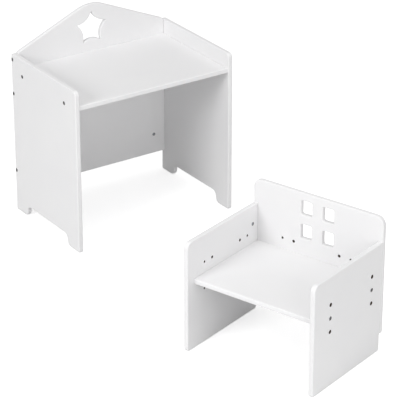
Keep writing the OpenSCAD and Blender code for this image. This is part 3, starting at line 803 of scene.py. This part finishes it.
def beech(name):
    """Turned beech, dry and without a finish.

    It is a pale pinkish brown with dark flecks, two or three millimetres long, on a fine
    straight grain.
    """
    material, tree = new_material(name)
    own = add(tree, "ShaderNodeAttribute", attribute_name="own_place").outputs["Vector"]
    stretch = add(tree, "ShaderNodeMapping", {"Vector": own, "Scale": (1500.0, 1500.0, 90.0)})
    grain = add(tree, "ShaderNodeTexNoise", {"Vector": stretch.outputs[0], "Scale": 1.0, "Detail": 3.0})
    flecks_place = add(tree, "ShaderNodeMapping", {"Vector": own, "Scale": (2400.0, 2400.0, 420.0)})
    flecks = add(tree, "ShaderNodeTexVoronoi", {"Vector": flecks_place.outputs[0], "Scale": 1.0})
    fleck = add(tree, "ShaderNodeMapRange",
                {"Value": flecks.outputs["Distance"], "From Min": 0.12, "From Max": 0.3,
                 "To Min": 0.5, "To Max": 0.0})
    body = add(tree, "ShaderNodeMix",
               {0: grain.outputs["Fac"], 6: linear("#C79B6C"), 7: linear("#E0BE93")}, data_type="RGBA")
    colour = add(tree, "ShaderNodeMix",
                 {0: fleck.outputs[0], 6: body.outputs[2], 7: linear("#8F6238")}, data_type="RGBA")
    bump = add(tree, "ShaderNodeBump",
               {"Strength": 0.3, "Distance": 0.1 * MM, "Height": grain.outputs["Fac"]})
    roughness = add(tree, "ShaderNodeMapRange",
                    {"Value": grain.outputs["Fac"], "To Min": 0.55, "To Max": 0.75})
    shader = add(tree, "ShaderNodeBsdfPrincipled",
                 {"Base Color": colour.outputs[2], "IOR": 1.5, "Roughness": roughness.outputs[0],
                  "Normal": bump.outputs[0]})
    add(tree, "ShaderNodeOutputMaterial", {"Surface": shader.outputs[0]})
    return material


def sixteen_flutes(tree, angle):
    """Share of the radius that is left at an angle: pressed grooves, a thirtieth of it deep."""
    half_depth = 0.017
    turns = add(tree, "ShaderNodeMath", {0: angle, 1: 16}, operation="MULTIPLY")
    wave = add(tree, "ShaderNodeMath", {0: turns}, operation="SINE")
    groove = add(tree, "ShaderNodeMath", {0: wave, 1: half_depth, 2: half_depth}, operation="MULTIPLY_ADD")
    return add(tree, "ShaderNodeMath", {0: 1, 1: groove}, operation="SUBTRACT")


dowel_tree, dowel_in = new_tree("fluted_dowel", ["Radius", "Length", "Edge"])
dowel = pin(dowel_tree, dowel_in, 96, sixteen_flutes)
on_every_point(dowel_tree, dowel_in, dowel, beech("dry_turned_beech"))
dowel_sizes = {"Radius": 4 * MM, "Length": 30 * MM, "Edge": 0.9 * MM}


def dowels(node, body, place, spots):
    """Dowels that stand out of a board's face at (point, aim) spots."""
    sunk = [(Vector(point) - Vector(aim) * DOWEL_IN_FACE, aim, UP) for point, aim in spots]
    fasteners(node, dowel_tree, dowel_sizes, body, place, sunk)


FORWARD = (0, -1, 0)
for hand, name in ((-1, "left"), (1, "right")):
    dowels(f"desk_{name}_dowels", "desk", desk_place,
           [((hand * desk_in, y, top_mid), (-hand, 0, 0)) for y in desk_top_dowels])
    dowels(f"chair_{name}_dowels", "chair", chair_place,
           [((hand * chair_in, y, seat_mid.z), (-hand, 0, 0)) for y in seat_dowels])
dowels("desk_rear_dowels", "desk", desk_place,
       [((x, top_high.y, top_mid), FORWARD) for x in desk_rear_dowels])
dowels("chair_rear_dowels", "chair", chair_place,
       [((x, seat_high.y, seat_mid.z), FORWARD) for x in seat_rear_dowels])

# ---- Floor and light ---------------------------------------------------------------
# A light table: a matt white sheet that glows evenly, flat under the furniture and curved
# up far away. A soft box at the left makes the shadows, and two large ones, above and in
# front, fill them.

TABLE_FLAT, TABLE_RISE = 25, 8  # metres: radius of the flat part, and radius and height of the sweep
PAPER_RADIUS = 3  # metres
SIDES = 96  # of every circle on the floor


def ring(radius, height):
    """Points of a level circle round the middle of the room."""
    return [(radius * math.cos(a), radius * math.sin(a), height)
            for a in (math.tau * k / SIDES for k in range(SIDES))]


def floor_sheet(name, points, faces, finish):
    """A sheet that the furniture stands on, which isn't part of it."""
    mesh = bpy.data.meshes.new(name)
    mesh.from_pydata(points, [], faces)
    mesh.shade_smooth()
    mesh.materials.append(finish)
    sheet = bpy.data.objects.new(name, mesh)
    scene.collection.objects.link(sheet)
    return sheet


def glowing_acrylic():
    """Opal acrylic sheet lit from inside: white, matt and very slightly cloudy."""
    material, tree = new_material("matt_white_acrylic_sheet")
    place = add(tree, "ShaderNodeTexCoord").outputs["Object"]
    cloudy = add(tree, "ShaderNodeTexNoise", {"Vector": place, "Scale": 1.5, "Detail": 2.0})
    colour = add(tree, "ShaderNodeMix",
                 {0: cloudy.outputs["Fac"], 6: linear("#F8F8F8"), 7: linear("#FBFBFB")}, data_type="RGBA")
    shader = add(tree, "ShaderNodeBsdfPrincipled",
                 {"Base Color": colour.outputs[2], "Roughness": 0.9, "Specular IOR Level": 0.2,
                  "Emission Color": (1, 1, 1, 1), "Emission Strength": 0.5})
    add(tree, "ShaderNodeOutputMaterial", {"Surface": shader.outputs[0]})
    return material


def background_paper():
    """Uncoated white paper from a roll: matt, with almost no sheen."""
    material, tree = new_material("matt_white_background_paper")
    shader = add(tree, "ShaderNodeBsdfPrincipled",
                 {"Base Color": linear("#E7E7E7"), "Roughness": 0.95, "Specular IOR Level": 0.1})
    add(tree, "ShaderNodeOutputMaterial", {"Surface": shader.outputs[0]})
    return material


sweep = [math.radians(90 * k / 12) for k in range(13)]
table_rings = [(2, 0), (8, 0), *[(TABLE_FLAT + TABLE_RISE * math.sin(a), TABLE_RISE * (1 - math.cos(a)))
                                 for a in sweep]]
table_points = [p for radius, height in table_rings for p in ring(radius, height)]
table_faces = [[row + k, row + SIDES + k, row + SIDES + (k + 1) % SIDES, row + (k + 1) % SIDES]
               for row in range(0, len(table_points) - SIDES, SIDES) for k in range(SIDES)]
middle_face = list(range(SIDES))
light_table = floor_sheet("light_table", table_points, [middle_face, *table_faces], glowing_acrylic())
floor_paper = floor_sheet("floor_paper", ring(PAPER_RADIUS, -0.3 * MM), [middle_face], background_paper())

# the glowing sheet is only seen; white paper just under it, which isn't seen, throws light up
light_table.visible_diffuse = False
light_table.visible_glossy = False
light_table.visible_shadow = False
floor_paper.visible_camera = False

surround = bpy.data.worlds.new("surround")
surround.use_nodes = True
surround_tree = surround.node_tree
way_in = add(surround_tree, "ShaderNodeTexCoord").outputs["Generated"]
height = add(surround_tree, "ShaderNodeSeparateXYZ", {"Vector": way_in}).outputs["Z"]
FROM_BELOW, FROM_ABOVE = 0.44, 0.54  # strength of the light from under and over the horizon
brightness = add(surround_tree, "ShaderNodeMapRange",
                 {"Value": height, "From Min": -0.05, "From Max": 0.05,
                  "To Min": FROM_BELOW, "To Max": FROM_ABOVE})
surround_tree.nodes["Background"].inputs["Color"].default_value = (1, 1, 1, 1)
surround_tree.links.new(brightness.outputs[0], surround_tree.nodes["Background"].inputs["Strength"])
scene.world = surround


def soft_box(name, size, power, turn, lift, distance):
    """Square lamp of so many metres and watts, which faces the middle of the furniture.

    It hangs turn degrees to the left of the front and lift degrees up.
    """
    a, e, middle_height = math.radians(turn), math.radians(lift), 0.3
    way = Vector((-math.sin(a) * math.cos(e), -math.cos(a) * math.cos(e), math.sin(e)))
    lamp = bpy.data.objects.new(name, bpy.data.lights.new(name, "AREA"))
    lamp.data.size, lamp.data.energy = size, power
    lamp.location = way * distance + Vector((0, 0, middle_height))
    lamp.rotation_euler = way.to_track_quat("Z", "Y").to_euler()
    scene.collection.objects.link(lamp)


soft_box("key_soft_box", 1.3, 69, turn=79, lift=25, distance=4.5)
soft_box("top_soft_box", 3.0, 58, turn=34, lift=80, distance=4.5)
soft_box("front_soft_box", 3.0, 62, turn=8, lift=16, distance=5)
scene.view_settings.view_transform = "Standard"
